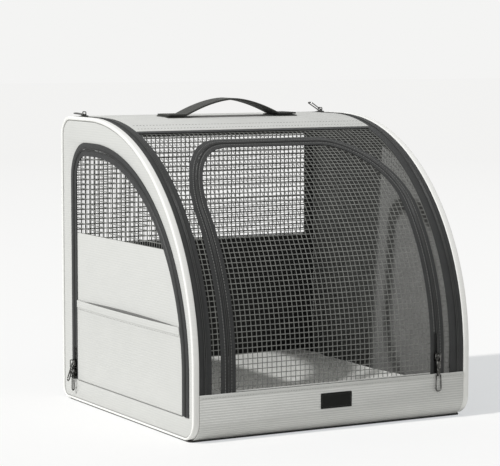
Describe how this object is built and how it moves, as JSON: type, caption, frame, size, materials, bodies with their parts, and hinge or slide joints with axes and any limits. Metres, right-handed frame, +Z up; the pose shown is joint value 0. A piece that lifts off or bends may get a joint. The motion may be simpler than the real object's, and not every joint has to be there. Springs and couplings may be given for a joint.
{
  "type": "pet carrier",
  "caption": "Soft-sided car pet carrier with a curved mesh front, zipped front and side doors, carry handle and padded floor mat",
  "frame": {"origin": "on the ground under the middle of the carrier's box", "axes": "X to the right seen from the front, Y to the back, Z up"},
  "size_m": [0.4317, 0.4133, 0.4268],
  "materials": {
    "mesh_cloth": "open polyester mesh, dark grey",
    "zip_tape": "woven zip tape, dark grey",
    "zip_coil": "nylon coil, dark",
    "zip_metal": "gunmetal plated zinc",
    "boning_plastic": "flat springy boning",
    "rim_binding": "pale folded binding",
    "lining_cloth": "dark lining cloth",
    "webbing": "black woven webbing",
    "label_rubber": "bare soft patch",
    "mat_plush": "short pale plush",
    "board": "stiff floor insert",
    "ribbed_cloth": "light grey ribbed cloth",
    "panel_cloth": "very light grey ribbed cloth over board"
  },
  "bodies": {
    "shell": {"back_lining": "lining_cloth", "back_panel": "panel_cloth", "back_window_binding": "zip_tape", "back_window_net": "mesh_cloth", "base_tray": "ribbed_cloth", "canopy_mesh": "mesh_cloth", "floor_board": "board", "front_door_outer_coil": "zip_coil", "front_door_outer_tape": "zip_tape", "handle_ends": "webbing", "handle_patches": "webbing", "label_patch": "label_rubber", "left_arc_coils": "zip_coil", "left_arc_inner_tape": "zip_tape", "left_arc_outer_tape": "zip_tape", "left_rim": "rim_binding", "left_rim_boning": "boning_plastic", "left_side_lining": "lining_cloth", "left_side_panel": "panel_cloth", "right_arc_coils": "zip_coil", "right_arc_inner_tape": "zip_tape", "right_arc_outer_tape": "zip_tape", "right_rim": "rim_binding", "right_rim_boning": "boning_plastic", "right_side_lining": "lining_cloth", "right_side_panel": "panel_cloth", "side_door_outer_coil": "zip_coil", "side_door_outer_tape": "zip_tape", "top_panel": "ribbed_cloth", "top_seam_tape": "zip_tape"},
    "front_door": {"front_door_mesh": "mesh_cloth", "front_door_inner_tape": "zip_tape", "front_door_inner_coil": "zip_coil", "front_door_hem": "zip_tape"},
    "side_door": {"side_door_panel": "panel_cloth", "side_door_net": "mesh_cloth", "side_door_inner_tape": "zip_tape", "side_door_inner_coil": "zip_coil", "side_door_pocket": "panel_cloth", "side_door_pocket_hem": "panel_cloth"},
    "floor_mat": {"floor_mat": "mat_plush"},
    "handle_strap": {"handle_strap": "webbing"},
    "left_arc_slider": {"left_arc_slider": "zip_metal"},
    "left_arc_pull": {"left_arc_pull": "zip_metal"},
    "right_arc_slider": {"right_arc_slider": "zip_metal"},
    "right_arc_pull": {"right_arc_pull": "zip_metal"},
    "front_slider": {"front_slider": "zip_metal"},
    "front_pull_tab": {"front_pull_tab": "zip_metal"},
    "front_pull_loop": {"front_pull_loop": "zip_metal"},
    "side_upper_slider": {"side_upper_slider": "zip_metal"},
    "side_upper_pull": {"side_upper_pull": "zip_metal"},
    "side_lower_slider": {"side_lower_slider": "zip_metal"},
    "side_lower_pull": {"side_lower_pull": "zip_metal"}
  },
  "joints": [
    {"name": "front_door_swing", "type": "hinge", "parent": "shell", "child": "front_door", "pos_m": [0, -0.2045, 0.0622], "axis": [1, 0, 0], "range_deg": [0, 110]},
    {"name": "side_door_swing", "type": "hinge", "parent": "shell", "child": "side_door", "pos_m": [-0.2105, 0, 0.0322], "axis": [0, -1, 0], "range_deg": [0, 90]},
    {"name": "floor_mat_lift", "type": "slide", "parent": "shell", "child": "floor_mat", "axis": [0, 0, 1], "range_m": [0, 0.05]},
    {"name": "handle_tilt", "type": "hinge", "parent": "shell", "child": "handle_strap", "pos_m": [0, 0.096, 0.4116], "axis": [1, 0, 0], "range_deg": [-25, 25], "stiffness_Nm_per_rad": 0.05},
    {"name": "left_arc_slider_run", "type": "slide", "parent": "shell", "child": "left_arc_slider", "axis": [0, -1, 0], "range_m": [0, 0.05]},
    {"name": "left_arc_pull_swing", "type": "hinge", "parent": "left_arc_slider", "child": "left_arc_pull", "pos_m": [-0.192, 0.162, 0.4044], "axis": [1, 0, 0], "range_deg": [0, 110]},
    {"name": "right_arc_slider_run", "type": "slide", "parent": "shell", "child": "right_arc_slider", "axis": [0, -1, 0], "range_m": [0, 0.05]},
    {"name": "right_arc_pull_swing", "type": "hinge", "parent": "right_arc_slider", "child": "right_arc_pull", "pos_m": [0.192, 0.162, 0.4044], "axis": [1, 0, 0], "range_deg": [-9, 100]},
    {"name": "front_slider_run", "type": "hinge", "parent": "shell", "child": "front_slider", "pos_m": [0.159, 0.108, 0.09], "axis": [-1, 0, 0], "range_deg": [0, 2.2]},
    {"name": "front_pull_tab_swing", "type": "hinge", "parent": "front_slider", "child": "front_pull_tab", "pos_m": [0.159, -0.2064, 0.085], "axis": [-1, 0, 0], "range_deg": [0, 100]},
    {"name": "front_pull_loop_swing", "type": "hinge", "parent": "front_pull_tab", "child": "front_pull_loop", "pos_m": [0.159, -0.2064, 0.061], "axis": [-1, 0, 0], "range_deg": [-3, 100]},
    {"name": "side_upper_slider_run", "type": "slide", "parent": "shell", "child": "side_upper_slider", "axis": [0, 0, 1], "range_m": [0, 0.012]},
    {"name": "side_upper_pull_swing", "type": "hinge", "parent": "side_upper_slider", "child": "side_upper_pull", "pos_m": [-0.2131, 0.161, 0.054], "axis": [0, 1, 0], "range_deg": [-6, 100]},
    {"name": "side_lower_slider_run", "type": "slide", "parent": "shell", "child": "side_lower_slider", "axis": [0, 0, 1], "range_m": [-0.002, 0.001]},
    {"name": "side_lower_pull_swing", "type": "hinge", "parent": "side_lower_slider", "child": "side_lower_pull", "pos_m": [-0.2131, 0.161, 0.041], "axis": [0, 1, 0], "range_deg": [0, 8]}
  ]
}
